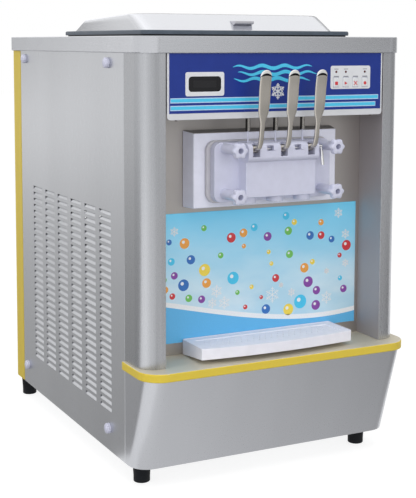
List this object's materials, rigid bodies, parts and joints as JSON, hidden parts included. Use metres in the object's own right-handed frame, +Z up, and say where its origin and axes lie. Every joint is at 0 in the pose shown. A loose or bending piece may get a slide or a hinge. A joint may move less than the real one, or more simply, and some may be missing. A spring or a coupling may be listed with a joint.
{
  "type": "soft serve ice cream machine",
  "caption": "Table-top soft-serve ice cream maker: steel cabinet with cup recess, pull levers over a dispensing door, drip tray, lidded hoppers, freezing cylinders and cooling unit.",
  "frame": {"origin": "on the surface that the feet stand on, in the middle of the overall plan", "axes": "+X to the right seen from the front, +Y to the back, +Z up"},
  "size_m": [0.548, 0.758, 0.837],
  "materials": {
    "satin_steel": "satin",
    "brushed_back": "brushed",
    "gold_trim": "satin gold",
    "white_plastic": "satin",
    "panel_blue": "gloss",
    "poster": "printed",
    "chrome": "polished",
    "seal_rubber": "matt",
    "black_rubber": "matt",
    "dark_window": "gloss",
    "red_lens": "gloss",
    "hopper_steel": "satin",
    "frame_steel": "galvanised",
    "motor_paint": "satin",
    "compressor_paint": "gloss",
    "copper": "drawn",
    "condenser_fin": "mill",
    "switch_body": "matt"
  },
  "bodies": {
    "cabinet": {"base_pan": "frame_steel", "frame": "frame_steel", "left_side_panel": "satin_steel", "right_side_panel": "satin_steel", "rear_panel": "satin_steel", "rear_trims": "gold_trim", "left_pillar": "satin_steel", "right_pillar": "satin_steel", "ledge": "gold_trim", "base_front_panel": "satin_steel", "recess_back_panel": "brushed_back", "poster_panel": "poster", "top_cover": "satin_steel", "control_panel": "panel_blue", "control_housing": "frame_steel", "display_bezel": "white_plastic", "display_window": "dark_window", "keypad_plate": "white_plastic", "indicator_lights": "red_lens", "front_block": "white_plastic", "seal_plate": "white_plastic", "dispensing_door": "white_plastic", "door_studs": "chrome", "lever_pin": "chrome", "micro_switches": "switch_body", "hoppers": "hopper_steel", "cylinders": "hopper_steel", "gearmotors": "motor_paint", "compressor": "compressor_paint", "condenser": "condenser_fin", "fan_shroud": "frame_steel", "fan_motor": "motor_paint", "refrigerant_pipes": "copper", "side_screws": "white_plastic", "feet": "black_rubber"},
    "key_1_body": {"key_1": "white_plastic"},
    "key_2_body": {"key_2": "white_plastic"},
    "key_3_body": {"key_3": "white_plastic"},
    "key_4_body": {"key_4": "white_plastic"},
    "hand_knob_1_body": {"hand_knob_1": "white_plastic"},
    "hand_knob_2_body": {"hand_knob_2": "white_plastic"},
    "hand_knob_3_body": {"hand_knob_3": "white_plastic"},
    "hand_knob_4_body": {"hand_knob_4": "white_plastic"},
    "lever_left_body": {"lever_left": "chrome"},
    "piston_left_body": {"piston_left": "white_plastic"},
    "switch_rod_left_body": {"switch_rod_left": "chrome"},
    "lever_centre_body": {"lever_centre": "chrome"},
    "piston_centre_body": {"piston_centre": "white_plastic"},
    "switch_rod_centre_body": {"switch_rod_centre": "chrome"},
    "lever_right_body": {"lever_right": "chrome"},
    "piston_right_body": {"piston_right": "white_plastic"},
    "switch_rod_right_body": {"switch_rod_right": "chrome"},
    "tray_body": {"drip_tray": "white_plastic"},
    "drip_grid_body": {"drip_grid": "white_plastic"},
    "lid_body": {"hopper_lid": "satin_steel", "lid_seal": "seal_rubber", "lid_handle": "satin_steel"},
    "beater_left_body": {"beater_left": "white_plastic"},
    "beater_right_body": {"beater_right": "white_plastic"},
    "fan_body": {"fan_rotor": "motor_paint"}
  },
  "joints": [
    {"name": "lever_left_pull", "type": "hinge", "parent": "cabinet", "child": "lever_left_body", "pos_m": [-0.056, -0.333, 0.599], "axis": [1, 0, 0], "range_deg": [0, 35]},
    {"name": "lever_centre_pull", "type": "hinge", "parent": "cabinet", "child": "lever_centre_body", "pos_m": [0, -0.333, 0.599], "axis": [1, 0, 0], "range_deg": [0, 35]},
    {"name": "lever_right_pull", "type": "hinge", "parent": "cabinet", "child": "lever_right_body", "pos_m": [0.056, -0.333, 0.599], "axis": [1, 0, 0], "range_deg": [0, 35]},
    {"name": "piston_left_lift", "type": "slide", "parent": "cabinet", "child": "piston_left_body", "axis": [0, 0, 1], "range_m": [0, 0.0122]},
    {"name": "piston_centre_lift", "type": "slide", "parent": "cabinet", "child": "piston_centre_body", "axis": [0, 0, 1], "range_m": [0, 0.0122]},
    {"name": "piston_right_lift", "type": "slide", "parent": "cabinet", "child": "piston_right_body", "axis": [0, 0, 1], "range_m": [0, 0.0122]},
    {"name": "switch_rod_left_lift", "type": "slide", "parent": "cabinet", "child": "switch_rod_left_body", "axis": [0, 0, 1], "range_m": [0, 0.0122]},
    {"name": "switch_rod_centre_lift", "type": "slide", "parent": "cabinet", "child": "switch_rod_centre_body", "axis": [0, 0, 1], "range_m": [0, 0.0122]},
    {"name": "switch_rod_right_lift", "type": "slide", "parent": "cabinet", "child": "switch_rod_right_body", "axis": [0, 0, 1], "range_m": [0, 0.0122]},
    {"name": "key_1_press", "type": "slide", "parent": "cabinet", "child": "key_1_body", "axis": [0, 1, 0], "range_m": [0, 0.0008], "stiffness_N_per_m": 1500, "springref_m": -0.0004},
    {"name": "key_2_press", "type": "slide", "parent": "cabinet", "child": "key_2_body", "axis": [0, 1, 0], "range_m": [0, 0.0008], "stiffness_N_per_m": 1500, "springref_m": -0.0004},
    {"name": "key_3_press", "type": "slide", "parent": "cabinet", "child": "key_3_body", "axis": [0, 1, 0], "range_m": [0, 0.0008], "stiffness_N_per_m": 1500, "springref_m": -0.0004},
    {"name": "key_4_press", "type": "slide", "parent": "cabinet", "child": "key_4_body", "axis": [0, 1, 0], "range_m": [0, 0.0008], "stiffness_N_per_m": 1500, "springref_m": -0.0004},
    {"name": "hand_knob_1_turn", "type": "hinge", "parent": "cabinet", "child": "hand_knob_1_body", "pos_m": [-0.0985, -0.33, 0.6], "axis": [0, 1, 0], "continuous": true},
    {"name": "hand_knob_2_turn", "type": "hinge", "parent": "cabinet", "child": "hand_knob_2_body", "pos_m": [0.0985, -0.33, 0.6], "axis": [0, 1, 0], "continuous": true},
    {"name": "hand_knob_3_turn", "type": "hinge", "parent": "cabinet", "child": "hand_knob_3_body", "pos_m": [-0.0985, -0.33, 0.52], "axis": [0, 1, 0], "continuous": true},
    {"name": "hand_knob_4_turn", "type": "hinge", "parent": "cabinet", "child": "hand_knob_4_body", "pos_m": [0.0985, -0.33, 0.52], "axis": [0, 1, 0], "continuous": true},
    {"name": "drip_tray_pull", "type": "slide", "parent": "cabinet", "child": "tray_body", "axis": [0, -1, 0], "range_m": [0, 0.1]},
    {"name": "drip_grid_lift", "type": "slide", "parent": "tray_body", "child": "drip_grid_body", "axis": [0, 0, 1], "range_m": [0, 0.06]},
    {"name": "hopper_lid_lift", "type": "slide", "parent": "cabinet", "child": "lid_body", "axis": [0, 0, 1], "range_m": [0, 0.2]},
    {"name": "beater_left_spin", "type": "hinge", "parent": "cabinet", "child": "beater_left_body", "pos_m": [-0.05, -0.1, 0.56], "axis": [0, 1, 0], "continuous": true},
    {"name": "beater_right_spin", "type": "hinge", "parent": "cabinet", "child": "beater_right_body", "pos_m": [0.05, -0.1, 0.56], "axis": [0, 1, 0], "continuous": true},
    {"name": "fan_spin", "type": "hinge", "parent": "cabinet", "child": "fan_body", "pos_m": [-0.19, 0.09, 0.275], "axis": [1, 0, 0], "continuous": true}
  ],
  "couplings": [
    {"joint": "piston_left_lift", "follows": "lever_left_pull", "m_per_rad": 0.01972},
    {"joint": "piston_centre_lift", "follows": "lever_centre_pull", "m_per_rad": 0.01972},
    {"joint": "piston_right_lift", "follows": "lever_right_pull", "m_per_rad": 0.01972},
    {"joint": "switch_rod_left_lift", "follows": "lever_left_pull", "m_per_rad": 0.01972},
    {"joint": "switch_rod_centre_lift", "follows": "lever_centre_pull", "m_per_rad": 0.01972},
    {"joint": "switch_rod_right_lift", "follows": "lever_right_pull", "m_per_rad": 0.01972}
  ]
}
